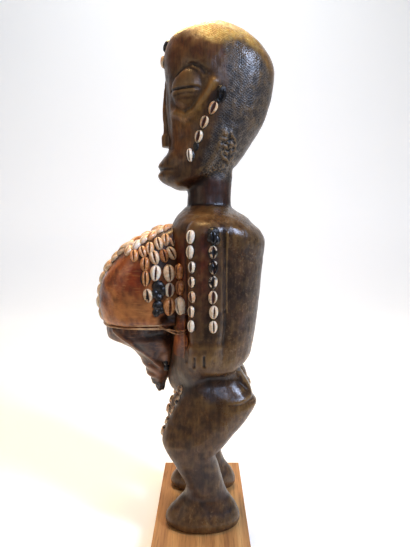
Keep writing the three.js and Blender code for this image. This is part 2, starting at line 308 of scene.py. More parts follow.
def ball(place, radii, axes, sides=16, bands=10):
    """An ellipsoid in millimetres, its radii along the given axes."""
    theta = np.linspace(0, math.pi, bands + 1)[1:-1, None]
    phi = np.arange(sides) * 2 * math.pi / sides
    level = np.cos(theta) + 0 * phi
    unit = np.stack([np.sin(theta) * np.cos(phi), np.sin(theta) * np.sin(phi), level], 2)
    unit = np.vstack([unit.reshape(-1, 3), [(0, 0, 1), (0, 0, -1)]])
    points = np.array(place) + (unit * np.array(radii)) @ np.array(axes, float)
    return points, ring_faces(sides, bands - 1, turned=True)


def joined(forms):
    """Several forms as one list of points and one of faces."""
    points, faces, count = [], [], 0
    for form_points, form_faces in forms:
        faces += [tuple(count + i for i in face) for face in form_faces]
        points.append(form_points)
        count += len(form_points)
    return np.vstack(points), faces


def new_object(name, points, faces):
    mesh = bpy.data.meshes.new(name)
    mesh.from_pydata((np.asarray(points) * MM).tolist(), [], faces)
    mesh.update()
    obj = bpy.data.objects.new(name, mesh)
    bpy.context.scene.collection.objects.link(obj)
    return obj


def baked(obj):
    """Turns what the modifiers make into the object's own mesh."""
    graph = bpy.context.evaluated_depsgraph_get()
    made = bpy.data.meshes.new_from_object(
        obj.evaluated_get(graph), preserve_all_data_layers=True, depsgraph=graph
    )
    obj.modifiers.clear()
    obj.data = made
    made.name = obj.name
    return obj


def with_modifier(obj, kind, **settings):
    modifier = obj.modifiers.new(kind.lower(), kind)
    for name, value in settings.items():
        setattr(modifier, name, value)
    return obj


def fused(name, forms, voxel, soften):
    """Overlapping forms as one skin with even faces."""
    obj = new_object(name, *joined(forms))
    with_modifier(obj, "REMESH", mode="VOXEL", voxel_size=voxel * MM, use_smooth_shade=True)
    with_modifier(obj, "SMOOTH", factor=0.5, iterations=soften)
    return baked(obj)


# Carving by moving points along the surface's normals

def points_of(obj):
    flat = np.empty(len(obj.data.vertices) * 3, np.float32)
    obj.data.vertices.foreach_get("co", flat)
    return flat.reshape(-1, 3).astype(float) / MM


def normals_of(obj):
    flat = np.empty(len(obj.data.vertices) * 3, np.float32)
    obj.data.vertex_normals.foreach_get("vector", flat)
    return flat.reshape(-1, 3).astype(float)


def place_points(obj, points):
    obj.data.vertices.foreach_set("co", (points * MM).astype(np.float32).ravel())
    obj.data.update()


def push(obj, amount):
    """Moves each point along its normal by its own amount in millimetres."""
    place_points(obj, points_of(obj) + normals_of(obj) * amount[:, None])


def ease(low, high, value):
    """From 0 at the first value smoothly to 1 at the second, which may be the lower."""
    t = np.clip((value - low) / (high - low), 0, 1)
    return t * t * (3 - 2 * t)


def hump(distance, width):
    """1 where the distance is 0, falling off over the width."""
    return np.exp(-((distance / width) ** 2))


def spot(side_view, back, high, long, tall):
    """A soft oval in the side view: 1 in its middle, which lies so far back and so high."""
    y, z = side_view.T
    return hump(np.hypot((y - back) / long, (z - high) / tall), 1)


def path_distance(flat_points, path):
    """How far each point lies from a line through the path's points, and how far along it, from 0 to 1."""
    path = np.array(path, float)
    best = np.full(len(flat_points), 1e9)
    along = np.zeros(len(flat_points))
    steps = len(path) - 1
    for i, (a, b) in enumerate(zip(path, path[1:])):
        line = b - a
        t = np.clip((flat_points - a) @ line / (line @ line), 0, 1)
        distance = np.linalg.norm(flat_points - a - t[:, None] * line, axis=1)
        closer = distance < best
        best[closer] = distance[closer]
        along[closer] = (i + t[closer]) / steps
    return best, along


def rough(points, size, seed=0, octaves=3):
    """Smooth noise from about -1 to 1 whose lumps are about that many millimetres."""
    shift = Vector((seed * 17.3, seed * 5.1, seed * 9.7))
    return np.array([noise.fractal(Vector(p) / size + shift, 0.9, 2.1, octaves) for p in points])


def set_value(obj, name, values):
    layer = obj.data.attributes.new(name, "FLOAT", "POINT")
    layer.data.foreach_set("value", np.asarray(values, np.float32))


def eased(obj, points, rounds):
    """The points, each moved to the middle of its neighbours that many times."""
    edges = np.empty(len(obj.data.edges) * 2, np.int32)
    obj.data.edges.foreach_get("vertices", edges)
    a, b = edges.reshape(-1, 2).T
    count = np.maximum(np.bincount(np.concatenate([a, b]), minlength=len(points)), 1)
    for _ in range(rounds):
        sums = [np.bincount(a, v[b], len(points)) + np.bincount(b, v[a], len(points)) for v in points.T]
        points = np.array(sums).T / count[:, None]
    return points


def blend(obj, share, rounds):
    """Softens the surface by a share of its own at each point."""
    points = points_of(obj)
    place_points(obj, points + share[:, None] * (eased(obj, points, rounds) - points))


def hollowness(obj, rounds=6):
    """Above 0 in hollows and below 0 on ridges, from each point's place among its neighbours."""
    points = points_of(obj)
    return ((eased(obj, points, rounds) - points) * normals_of(obj)).sum(axis=1)


# Materials

def linear(hex_colour):
    """An sRGB hex colour as linear RGBA."""
    channels = [int(hex_colour[i:i + 2], 16) / 255 for i in (1, 3, 5)]
    return [c / 12.92 if c <= 0.04045 else ((c + 0.055) / 1.055) ** 2.4 for c in channels] + [1]


def node(tree, kind, *values, output=None, stops=(), **named):
    """Adds a node and gives back the named output, or else the first one in use.

    The values fill the inputs in use, in their order. Names with a capital are inputs too, and the others are
    settings. A socket is linked, and a hex colour is made linear. A ramp's stops are hex colours or greys.
    """
    made = tree.nodes.new(kind)
    for name, value in named.items():
        if name.islower():
            setattr(made, name, value)
    free = [each for each in made.inputs if each.enabled]
    by_name = {each.name.replace(" ", "_"): each for each in reversed(free)}
    given = list(zip(free, values))
    given += [(by_name[name], value) for name, value in named.items() if not name.islower()]
    for target, value in given:
        if isinstance(value, bpy.types.NodeSocket):
            tree.links.new(value, target)
        elif isinstance(value, str) and value.startswith("#"):
            target.default_value = linear(value)
        elif value is not None:
            target.default_value = value
    if stops:
        elements = made.color_ramp.elements
        while len(elements) < len(stops):
            elements.new(0.5)
        for element, (place, shade) in zip(elements, stops):
            element.position = place
            element.color = linear(shade) if isinstance(shade, str) else [shade, shade, shade, 1]
    return next((each for each in made.outputs if each.enabled and output in (None, each.name)), None)


NOISE, RAMP, RANGE = "ShaderNodeTexNoise", "ShaderNodeValToRGB", "ShaderNodeMapRange"
MATHS, MAPPING, ATTRIBUTE = "ShaderNodeMath", "ShaderNodeMapping", "ShaderNodeAttribute"


def new_material(name, values=(), **surface):
    """A material with its shader's plain values set.

    Gives the material, its shader, a way to add nodes, the object coordinates and the surface's own values.
    """
    material = bpy.data.materials.new(name)
    material.use_nodes = True
    shader = material.node_tree.nodes["Principled BSDF"]
    for field, value in surface.items():
        shader.inputs[field.replace("_", " ")].default_value = value
    add = partial(node, material.node_tree)
    place = add("ShaderNodeTexCoord", output="Object")
    own = [add(ATTRIBUTE, attribute_name=each, output="Fac") for each in values]
    return material, shader, add, place, own


def layered(add, ground, *layers):
    """Colours laid over a ground one after another, each by its share, and mixed in or multiplied."""
    for share, colour, *way in layers:
        kind = way[0] if way else "MIX"
        ground = add("ShaderNodeMix", share, ground, colour, data_type="RGBA", blend_type=kind)
    return ground


def finished(material, shader, add, colour, roughness, height, strength, depth):
    """Links the colour, the roughness and a relief whose full height is that many millimetres."""
    relief = add("ShaderNodeBump", Height=height, Strength=strength, Distance=depth * MM)
    for name, value in (("Base Color", colour), ("Roughness", roughness), ("Normal", relief)):
        material.node_tree.links.new(value, shader.inputs[name])
    return material


def carved_wood():
    """Dense hardwood, adzed, oiled and handled: satin brown, ochre where rubbed, dull and dusty where cut.

    It also bears painted shade in its hollows and painted highlights on the crown, the shoulder tops and an
    edge.
    """
    material, shader, add, place, values = new_material(
        "oiled_hardwood", ("crown", "hair", "hollow", "warm", "red", "dust", "polish"),
        IOR=1.48, Specular_IOR_Level=0.36, Coat_Weight=0.07, Coat_Roughness=0.18,
    )
    crown, hair, hollow, warm, red, dust, polish = values
    # Grain lines 1.5 to 3 mm apart that run up the block, a little coarser than real pores so they show
    upright = add(MAPPING, place, Scale=(1, 1, 0.07))
    grain = add(NOISE, upright, 420, 5, 0.62)
    streak = add(NOISE, upright, 120, 3, 0.6)
    blotch = add(NOISE, place, 34, 4, 0.6)
    mottle = add(NOISE, place, 130, 4, 0.65)
    fleck = add(NOISE, place, 330, 3, 0.7)
    body = add(RAMP, blotch, stops=((0.3, "#24160e"), (0.5, "#352217"), (0.72, "#4a3122")))
    # Ochre of rubbed wood, also laid on the shoulder tops as painted light from above
    rubbed_and_lit = add(RAMP, blotch, stops=((0.3, "#5a3514"), (0.52, "#8f6024"), (0.75, "#b58a40")))
    # The scalp is cut all over with crossed strokes about 2 mm apart, drawn at 3 mm so they show, with pale
    # dust in them
    cuts = []
    for turn in (0.6, -0.7):
        turned = add(MAPPING, place, Rotation=(turn, 0, 0))
        cuts.append(add("ShaderNodeTexWave", turned, 112, 8, 3, 1.2, bands_direction="Z", output="Fac"))
    crossed = add(MATHS, *cuts, operation="MAXIMUM")
    dusty = add(RANGE, mottle, 0.34, 0.6, 0.168, 0.42)
    scratches = add(MATHS, add(RANGE, crossed, 0.78, 0.98), dusty, operation="MULTIPLY")
    scalp = add(RAMP, mottle, stops=((0.3, "#261d17"), (0.55, "#362b22"), (0.75, "#4b3d30")))
    scalp = layered(add, scalp, (scratches, "#857766"))
    # The crown is rubbed down to ochre and waxed, with the strokes still dark in it; its pale gold is partly
    # a painted highlight
    gold_and_highlight = add(RAMP, mottle, stops=((0.3, "#a5752f"), (0.5, "#caa048"), (0.7, "#e8cc78")))
    gold_and_highlight = layered(add, gold_and_highlight, (add(RANGE, crossed, 0.9, 0.99, 0, 0.35), "#5c3413"))
    patches = add(MATHS, add(RANGE, mottle, 0.4, 0.6), dust, operation="MULTIPLY")
    colour = layered(
        add, body,
        (warm, rubbed_and_lit),
        (red, "#5c2410"),
        (hair, scalp),
        (0.7, add(RAMP, grain, stops=((0.32, 0.5), (0.5, 0.95), (0.7, 1.35))), "MULTIPLY"),
        (0.5, add(RAMP, streak, stops=((0.36, 0.5), (0.5, 1), (0.68, 1.25))), "MULTIPLY"),
        (0.55, add(RAMP, mottle, stops=((0.38, 0.6), (0.5, 1), (0.64, 1.4))), "MULTIPLY"),
        (crown, gold_and_highlight),
        (add(MATHS, add(RANGE, fleck, 0.5, 0.68), patches, operation="MULTIPLY"), "#8a7150"),
        # Painted shade darkens the hollows; worn ridges, and a painted highlight on the arm's back edge, come
        # out lighter
        (add(RANGE, hollow, 0.04, 0.7, 0, 0.85), "#0e0906"),
        (add(RANGE, hollow, -0.08, -0.5, 0, 0.55), "#86653a"),
    )
    satin = add(RANGE, mottle, 0.35, 0.65, 0.46, 0.29)
    roughness = add(MATHS, polish, -0.16, satin, operation="MULTIPLY_ADD")
    # The strokes are worn shallow where hands have polished the head
    depth = add(MATHS, polish, 0.45, -0.8, operation="MULTIPLY_ADD")
    strokes = add(MATHS, crossed, add(MATHS, hair, crown, operation="MAXIMUM"), operation="MULTIPLY")
    height = add(MATHS, strokes, depth, grain, operation="MULTIPLY_ADD")
    return finished(material, shader, add, colour, roughness, height, 0.55, 0.6)


def hide(name, deep, middle, pale, stain, roughness):
    """Rawhide stretched wet and dried hard: waxy, uneven in colour, with fine creases and scratches, and
    painted shade in its hollows.
    """
    material, shader, add, place, (stained, hollow, soot) = new_material(
        name, ("stain", "hollow", "soot"), IOR=1.48, Coat_Weight=0.2, Coat_Roughness=0.2
    )
    cloud = add(NOISE, place, 30, 5, 0.6)
    smudge = add(NOISE, place, 95, 4, 0.7)
    # Scratches about 1 mm wide that run down and back across the hide
    slant = add(MAPPING, place, Rotation=(0.7, 0, 0), Scale=(1, 0.1, 1))
    scored = add(RANGE, add(NOISE, slant, 420, 3, 0.5), 0.56, 0.68, 0, 0.55)
    colour = layered(
        add, add(RAMP, cloud, stops=((0.36, deep), (0.5, middle), (0.66, pale))),
        (0.7, add(RAMP, smudge, stops=((0.36, 0.55), (0.5, 1), (0.66, 1.25))), "MULTIPLY"),
        # Painted shade darkens the creases and hollows, and ridges are paler
        (add(RANGE, hollow, 0.03, 0.5, 0, 0.85), "#150a05"),
        (add(RANGE, hollow, -0.03, -0.3, 0, 0.6), pale),
        # The stain value also carries a painted shadow on the flap, and the soot value painted shade on the
        # pouch
        (stained, stain),
        (scored, pale),
        (soot, "#24120a"),
    )
    # Pores and creases 1 to 2 mm apart, as dried goat hide has
    pores = add("ShaderNodeTexVoronoi", place, Scale=620, feature="SMOOTH_F1")
    height = add(MATHS, pores, 0.3, add(NOISE, place, 170, 4, 0.6), operation="MULTIPLY_ADD")
    waxed = add(RANGE, cloud, 0.3, 0.7, roughness + 0.12, roughness)
    return finished(material, shader, add, colour, waxed, height, 0.35, 0.7)


def cowrie_shell():
    """Cowrie: glazed and cream, toned orange by smoke and palm oil, dull red-brown inside the mouth."""
    material, shader, add, place, (tone, inner, soot) = new_material(
        "cowrie_shell", ("tone", "inner", "soot"), IOR=1.55, Subsurface_Weight=0.08,
        Subsurface_Scale=1.5 * MM,
    )
    cloud = add(NOISE, place, 260, 3, 0.6)
    mottled = add(MATHS, cloud, 0.9, add(MATHS, tone, 0.2, operation="SUBTRACT"), operation="MULTIPLY_ADD")
    covered = add(MATHS, soot, add(NOISE, place, 170, 2, 0.6), operation="ADD")
    colour = layered(
        add,
        add(RAMP, mottled, stops=((0.2, "#f6e6cc"), (0.5, "#e6c49a"), (0.75, "#d08e54"), (1, "#8f5024"))),
        (inner, "#4c2414"),
        (add(RANGE, covered, 0.92, 1.05), "#121013"),
    )
    return finished(material, shader, add, colour, add(RANGE, inner, 0, 1, 0.28, 0.85), cloud, 0.15, 0.3)


def black_resin():
    """Plant resin mixed with soot: black, lumpy and glossy, with dull crusted patches."""
    material, shader, add, place, _ = new_material("black_resin", IOR=1.54)
    cloud = add(NOISE, place, 240, 4, 0.65)
    colour = add(RAMP, cloud, stops=((0.35, "#0b0a0d"), (0.6, "#19140f"), (0.8, "#33241a")))
    return finished(material, shader, add, colour, add(RANGE, cloud, 0.35, 0.7, 0.2, 0.55), cloud, 0.5, 0.8)


def board_wood():
    """Planed hardwood board, oiled matt: straight grain along its length with short dark pores."""
    material, shader, add, place, _ = new_material("planed_hardwood_board", IOR=1.48)
    lengthwise = add(MAPPING, place, Scale=(0.05, 1, 1))
    bands = add(NOISE, lengthwise, 90, 4, 0.55)
    fine = add(NOISE, lengthwise, 700, 3, 0.6)
    colour = layered(
        add, add(RAMP, bands, stops=((0.3, "#9a673a"), (0.5, "#be884e"), (0.72, "#d8a463"))),
        (0.8, add(RAMP, fine, stops=((0.34, 0.6), (0.48, 1))), "MULTIPLY"),
    )
    return finished(material, shader, add, colour, add(RANGE, fine, 0, 1, 0.7, 0.5), fine, 0.3, 0.3)


WOOD = carved_wood()
HIDE = hide("stained_rawhide", "#4c200a", "#90461a", "#c88144", "#8a2902", 0.3)
STRAP_HIDE = hide("reddened_rawhide", "#5a240d", "#96481a", "#bd7336", "#3a1a0d", 0.4)
PALE_HIDE = hide("waxed_thong", "#8a5a34", "#b98655", "#dcb88a", "#4a2d1b", 0.4)
DARK_HIDE = hide("smoked_rawhide", "#26120a", "#4a2614", "#8c5a36", "#0d0705", 0.32)
SHELL = cowrie_shell()
RESIN = black_resin()
BOARD = board_wood()


def keep(obj, material, nodes=()):
    """Hands a finished piece over: its finish, its body and the solids that it stands for."""
    obj.data.materials.clear()
    obj.data.materials.append(material)
    obj.data.shade_smooth()
    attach(obj, "root")
    if nodes:
        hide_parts(*nodes)
    return obj


# The figure

FIGURE_VOXEL = 1.35
FIGURE_FACES_KEPT = 0.44
# The eye's middle, half its length, and how far the lids bulge above and below it
EYE_Y, EYE_Z, EYE_LONG = -17, 581, 19.5
LID_HIGH, LID_LOW = 21, 24
# Lines in the side view, each point by how far back and how high it lies
SLIT = [(-36.5, 582.2), (-20, 581), (-3, 579.6)]
BROW = [(-28, 598), (-19.6, 605), (-10.4, 607), (0, 601.5), (4.8, 595)]
OUTER_BROW = [(-20, 610), (-3, 606), (11, 594)]
CHEEKBONE = [(-31, 556), (-20, 549), (-8, 554), (5, 569), (15.6, 585)]
JAW = [(-30, 474), (-8, 480), (10, 494), (20, 510), (27, 528)]
MOUTH = [(-60, 490.2), (-44, 489.8), (-30, 487)]
HAIRLINE = [
    (0, 488), (3, 503), (12, 524), (19, 542), (25, 562),
    (33, 585), (31, 600), (28, 615), (24, 632), (20, 650),
]
HAIR_TOP = [
    (-48, 636), (-25, 634), (17, 630), (35, 636), (50, 638),
    (62, 631), (71, 620), (83, 606), (91, 590),
]
EAR = (33, 513.5)
EAR_RIM = [(29, 526), (36, 529), (42, 520), (41, 507), (34, 498), (27, 502)]
# Where handling has polished the wood: the back of the head, the shoulder and the hip
POLISHED = [(63, 627), (38, 415), (45, 205)]


def flank(obj):
    """The points, their normals, their side view, and how much each faces sideways, from 0 to 1."""
    points, normals = points_of(obj), normals_of(obj)
    return points, normals, points[:, 1:], ease(0.12, 0.4, normals[:, 0] * np.sign(points[:, 0]))


def cut(side_view, path, width, depth):
    """How much a cut along a path lowers each point; a negative depth raises it."""
    return -depth * hump(path_distance(side_view, path)[0], width)


def carve_face(obj):
    _, _, side_view, sideways = flank(obj)
    y, z = side_view.T
    head = ease(455, 470, z) * sideways
    tall = np.where(z > EYE_Z, LID_HIGH, LID_LOW)
    drop = np.clip((EYE_Z - z) / LID_LOW, 0, 1)
    from_eye = np.hypot((y - EYE_Y + 2.5 * drop) / (EYE_LONG * (1 - 0.22 * drop)), (z - EYE_Z) / tall)
    rear = ease(-14, 4, y)
    move = 5.2 * np.clip(1 - from_eye ** 2, 0, 1) ** (0.6 + 1.2 * rear + 0.5 * drop)
    move -= 0.8 * hump(from_eye - 1.2, 0.2) * ease(10, -4, z - EYE_Z) * (1 - 0.8 * rear)
    move += cut(side_view, BROW, 2, 1.3) + cut(side_view, OUTER_BROW, 2.2, 0.6)
    distance, along = path_distance(side_view, SLIT)
    move -= 3.2 * hump(distance, 1.5) * (0.35 + 0.65 * np.sin(math.pi * np.clip(along, 0.04, 0.96)))
    for k, lower in enumerate((6, 11.5)):
        reach, height = 13 - 4 * k, EYE_Z - lower
        move += cut(side_view, [(EYE_Y - reach, height), (EYE_Y + reach, height - 1)], 1.2, 0.4)
    move += cut(side_view, CHEEKBONE, 4.5, -3.2)
    move -= 4.2 * spot(side_view, -21, 531, 14, 19)
    move += cut(side_view, JAW, 5, -2)
    distance, along = path_distance(side_view, MOUTH)
    move -= 2.2 * hump(distance, 1.5) * (1 - along)
    move += cut(side_view, [(-41, 521), (-41, 560), (-44, 598)], 2.5, 1)
    move += cut(side_view, [(-42, 517), (-33, 512), (-26, 503)], 3, 0.9)
    push(obj, move * head)


def carve_ears_and_crust(obj):
    points, _, side_view, sideways = flank(obj)
    move = np.zeros(len(points))
    ear = spot(side_view, *EAR, 9, 15) * sideways * ease(480, 490, side_view[:, 1])
    touched = ear > 0.02
    move[touched] += ear[touched] * (2 + 4.2 * rough(points[touched], 4.6, seed=3, octaves=4))
    move += cut(side_view, EAR_RIM, 2.2, -1.6) * sideways
    crust = hump(path_distance(side_view, [(5, 482), (20, 491), (38, 496)])[0], 5) * ease(0.1, 0.5, sideways)
    touched = crust > 0.02
    move[touched] += crust[touched] * (0.4 + 1.2 * rough(points[touched], 3.2, seed=5))
    push(obj, move)


# Cuts along paths in the side view: the path, its width and its depth; a negative depth is a raised edge
ARM_BACK_EDGE = [(31, 408), (30.8, 345), (31.4, 312)]
BODY_CUTS = [
    ([(28, 410), (27.8, 345), (28.4, 314)], 2.2, 0.9),
    (ARM_BACK_EDGE, 1.1, -0.8),
    ([(29.5, 314), (28, 285), (27, 256)], 2, 0.6),
    ([(-15, 276), (5, 276.5), (25, 275)], 3.5, 0.5),
    ([(-8, 257), (-8.3, 245)], 1.7, 2.4),
    ([(3.8, 259), (4, 247)], 1.7, 2.4),
    ([(15, 256), (15, 248)], 1.6, 0.5),
    ([(-18, 250), (-16, 300), (-19, 400)], 1.6, 1.1),
]
# The trunk's lower edge on its sides, and the fold under the buttock
HEM = [(-22, 223), (0, 222), (14, 221), (31, 218), (41, 223), (52, 235)]
FOLD = [(26, 193), (49, 195), (70, 199)]


def soften_joins(obj):
    """Lets the lips run into the cheeks, and the hands and belly into the trunk."""
    x, y, z = points_of(obj).T
    lips = ease(462, 472, z) * ease(530, 518, z) * ease(-57, -50, y)
    lips = lips * ease(-20, -34, y) * ease(6, 14, np.abs(x))
    hand = ease(222, 234, z) * ease(275, 262, z) * ease(44, 52, np.abs(x))
    belly = ease(190, 200, z) * ease(262, 245, z) * ease(-8, -22, y)
    blend(obj, np.clip(lips + hand + 0.8 * belly, 0, 1), 60)
    side_view = points_of(obj)[:, 1:]
    hem = hump(path_distance(side_view, HEM)[0], 8) * ease(36, 46, np.abs(x))
    foot = 0.3 * ease(46, 38, z)
    throat = ease(450, 458, z) * ease(484, 474, z) * ease(2, -6, y)
    blend(obj, np.clip(hem + foot + throat, 0, 1), 18)


def carve_body(obj):
    points, _, side_view, sideways = flank(obj)
    outer = sideways * ease(40, 50, np.abs(points[:, 0]))
    move = sum(cut(side_view, *each) for each in BODY_CUTS)
    # The hip slopes in from the fold under the buttock up to the trunk's lower edge
    y, z = side_view.T
    move -= 7 * ease(194, 224, z) * ease(238, 224, z) * ease(-10, 12, y)
    distance, along = path_distance(side_view, FOLD)
    move += ease(0, 0.6, along) * (1.1 * hump(distance - 4, 3) * np.sign(z - 196) - 1.1 * hump(distance, 2.6))
    push(obj, move * outer)


def tool_marks(obj):
    """Low facets left by the knife, and slow waves in what should be round."""
    points = points_of(obj)
    facets = rough(points, 17, seed=1, octaves=2)
    waves = rough(points * (1, 1, 0.35), 5, seed=2, octaves=2)
    push(obj, 0.55 * facets + 0.16 * waves)


def paint_figure(obj):
    points, normals, side_view, sideways = flank(obj)
    x, y, z = points.T
    blur = rough(points, 14, seed=8)
    fine = rough(points, 4, seed=9)
    behind = y - np.interp(z, *np.transpose(HAIRLINE)[::-1]) + 1.5 * blur + fine
    above = z - np.interp(y, *np.transpose(HAIR_TOP)) + 5 * blur + 2 * fine
    hair = ease(-3, 4, behind) * ease(478, 490, z + 0.3 * y) * ease(7, -9, above)
    cheekbone = hump(path_distance(side_view, CHEEKBONE)[0], 6) * sideways
    face = ease(498, 525, z) * ease(8, -4, behind)
    chest = spot(side_view, 3, 372, 7, 40) * sideways
    # Lighter ochre on the upward-facing shoulder tops: partly rubbed wood, partly painted light from above
    rubbed_and_lit_shoulder_tops = ease(0.35, 0.8, normals[:, 2]) * ease(400, 415, z) * ease(450, 440, z)
    # Painted shade on the belly behind the flap's tip
    belly = spot(side_view, -30, 215, 18, 16)
    foot = ease(75, 40, z) * hump(y / 26, 1)
    back = ease(10, 50, y) * ease(200, 230, z) * ease(440, 420, z)
    crusted = spot(side_view, *EAR, 10, 15) * sideways
    jaw_crust = hump(path_distance(side_view, [(8, 483), (22, 490), (38, 497)])[0], 8) * sideways
    # Painted highlight: a pale line along the arm's back edge, made lighter with the worn ridges
    painted_edge_highlight = hump(path_distance(side_view, ARM_BACK_EDGE)[0], 1.1) * sideways * ease(40, 50, np.abs(x))
    cheek = spot(side_view, -22, 528, 13, 26) * sideways
    # The neck is redder, and darkened by painted shade below the head
    neck = ease(438, 446, z) * ease(486, 470, z) * ease(-24, -14, y)
    nose = ease(-46, -50, y) * ease(516, 522, z) * ease(600, 580, z)
    # Painted shade along the foot's lower edge
    sole = ease(38, 31, z)
    hand = ease(226, 236, z) * ease(285, 270, z) * ease(40, 50, np.abs(x))
    nape = ease(55, 75, y) * ease(585, 615, z)
    thigh = ease(105, 140, z) * ease(215, 190, z)
    # Beside the charge the trunk is smeared with the orange dressing of the hide
    smeared = hump((y + 24) / 11, 1) * ease(258, 272, z) * ease(415, 395, z) * ease(30, 42, np.abs(x))
    warm = 0.04 + 0.12 * face + 0.55 * cheekbone + 0.22 * rubbed_and_lit_shoulder_tops + 0.22 * foot + 0.2 * hand
    warm += 0.4 * nape + 0.6 * smeared + 0.6 * cheek + 0.12 * thigh + 0.08 * blur
    # The crown's pale gold is partly rubbed ochre and partly a painted highlight, growing from the forehead
    # back
    gold_and_highlight_share = ease(-9, 12, above - 14 * ease(24, -10, y)) * (0.4 + 0.6 * ease(-34, 2, y))
    red = 0.8 * chest + 0.65 * cheek + 0.35 * ease(600, 625, z) * face + 0.35 * neck + 0.6 * nose + smeared
    dust = 0.15 + 0.4 * back + 2.2 * crusted + 1.6 * jaw_crust + 0.4 * foot + 0.3 * blur
    set_value(obj, "polish", np.clip(sum(spot(side_view, *place, 30, 30) for place in POLISHED), 0, 1))
    set_value(obj, "hair", hair)
    set_value(obj, "crown", gold_and_highlight_share * ease(605, 635, z) * ease(82, 52, y + 4 * fine))
    set_value(obj, "warm", np.clip(warm, 0, 1))
    set_value(obj, "red", np.clip(red, 0, 1))
    # Painted shade in the hollows, on the neck, on the belly and along the sole; a painted highlight on the
    # arm's back edge
    set_value(obj, "hollow", hollowness(obj) - 0.6 * painted_edge_highlight + 0.5 * neck + 0.4 * belly + 0.2 * sole)
    set_value(obj, "dust", np.clip(dust, 0, 2))


def make_figure():
    forms = [loft(form) for form in (TORSO, LOWER_BELLY, NECK, HEAD, NOSE, MUZZLE, LIPS)]
    forms += [loft(form, side) for form in (ARM, LEG) for side in (1, -1)]
    obj = fused("carved_figure", forms, FIGURE_VOXEL, soften=8)
    soften_joins(obj)
    tool_marks(obj)
    carve_face(obj)
    carve_ears_and_crust(obj)
    carve_body(obj)
    with_modifier(obj, "SMOOTH", factor=0.35, iterations=1)
    with_modifier(obj, "DECIMATE", ratio=FIGURE_FACES_KEPT)
    baked(obj)
    paint_figure(obj)
    return keep(obj, WOOD, ["figure"])


# The leather charge

PANEL_EDGE = 15
STAIN = (-84, 358)
# The lower edge of the shell cape in the side view
CAPE_EDGE = [(-125, 360), (-105, 376), (-88, 386), (-74, 372), (-60, 366), (-20, 366)]


def surface_of(obj):
    return BVHTree.FromObject(obj, bpy.context.evaluated_depsgraph_get())


def lean_against(obj, surface, gap=0.3, ahead=300):
    """Brings every point that would be inside the body out to just in front of it."""
    points = points_of(obj)
    for point in points:
        place, *_ = surface.ray_cast(Vector((point[0], -ahead, point[2])) * MM, Vector((0, 1, 0)))
        if place is not None:
            point[1] = min(point[1], place.y / MM - gap)
    place_points(obj, points)


def make_pouch(body):
    obj = fused("pouch_hide", [loft(POUCH)], 1.5, soften=6)
    points, _, side_view, sideways = flank(obj)
    x, y, z = points.T
    move = 1.3 * rough(points, 30, seed=11, octaves=2) + 0.18 * rough(points, 7, seed=12)
    panel = ease(PANEL_EDGE - 1.5, PANEL_EDGE + 1.5, np.abs(x) + 1.2 * rough(points, 12, seed=14))
    move += 0.7 * panel
    turn = np.arctan2(y + 60, x)
    tucks = np.sin(46 * turn + 2.2 * rough(points, 20, seed=15))
    move += 0.12 * tucks * ease(306, 293, z)
    move -= 8.5 * spot(side_view, -38, 300, 12, 9) * sideways
    # The hide is drawn in along the middle, where the row of shells stands
    move -= 2.4 * hump(x / 40, 1) * ease(-20, -60, y)
    move -= 2.5 * spot(side_view, -53, 328, 9, 17) * sideways
    push(obj, move)
    lean_against(obj, body)
    near = spot(side_view, *STAIN, 19, 24)
    dark_rim = ease(40, 24, np.abs(x)) * ease(-30, -70, y) * 0.85
    under_cape = 0.8 * ease(-4, 4, z - np.interp(y, *np.transpose(CAPE_EDGE))) * sideways
    # Painted shade in the dent in front of the strap
    pit_shade = 0.9 * spot(side_view, -40, 300, 12, 8) * sideways
    smears = 0.36 * ease(-0.1, 0.5, rough(points * (1, 1, 0.8), 12, seed=17)) * ease(-55, -80, y)
    # Painted shade towards the body
    back_shade = ease(-66, -40, y) * 0.6
    cloud = rough(points, 12, seed=16)
    # A paler patch low on the hide: partly rubbed, partly a painted sheen
    rubbed_and_lit = 0.25 * spot(side_view, -82, 318, 34, 20)
    set_value(obj, "stain", np.clip(near * (0.8 + 0.4 * cloud), 0, 0.9))
    # The soot value here carries real soot and smears together with the painted shade of the pit and the back
    set_value(obj, "soot", np.clip(dark_rim + under_cape + pit_shade + smears + back_shade + 0.25 * cloud, 0, 0.9))
    set_value(obj, "hollow", hollowness(obj) - rubbed_and_lit)
    return keep(obj, HIDE, ["leather_pouch"])


FLAP_RIDGE = [(-110, 284), (-92, 271), (-77, 256), (-55, 235)]
FLAP_TIP_Y, FLAP_TIP_Z = -44, 214


def make_flap(body):
    obj = fused("flap_hide", [loft(FLAP)], 1.15, soften=4)
    points, _, side_view, sideways = flank(obj)
    x, y, z = points.T
    move = 0.6 * rough(points, 16, seed=21, octaves=2)
    spread = np.arctan2(z - FLAP_TIP_Z, -(y - FLAP_TIP_Y))
    reach = np.hypot(y - FLAP_TIP_Y, z - FLAP_TIP_Z)
    folds = np.sin(13 * spread + 1.1 * rough(points, 24, seed=22) + 0.7 * np.sign(x))
    move += 1.1 * folds * ease(12, 26, reach) * ease(80, 40, reach)
    move += cut(side_view, FLAP_RIDGE, 2.6, -2.6) * sideways
    move -= 7 * spot(side_view, -54, 277, 22, 11) * sideways
    turn = np.arctan2(y + 75, x)
    move += 0.2 * np.sin(38 * turn + 2 * rough(points, 18, seed=23)) * ease(274, 288, z)
    torn = ease(214, 203, z + 0.35 * (y + 58))
    move -= torn * (0.6 + 1.6 * np.abs(rough(points, 3.4, seed=24)))
    push(obj, move)
    lean_against(obj, body)
    # Painted shadow in the hollow under the tie, carried in the stain value with the dark torn end
    hollow_side_shadow = spot(side_view, -54, 278, 25, 12) * sideways
    set_value(obj, "stain", np.clip(torn + 0.95 * hollow_side_shadow, 0, 0.97))
    set_value(obj, "soot", np.clip(0.3 * rough(points, 9, seed=25), 0, 1))
    set_value(obj, "hollow", hollowness(obj))
    return keep(obj, DARK_HIDE, ["leather_flap"])


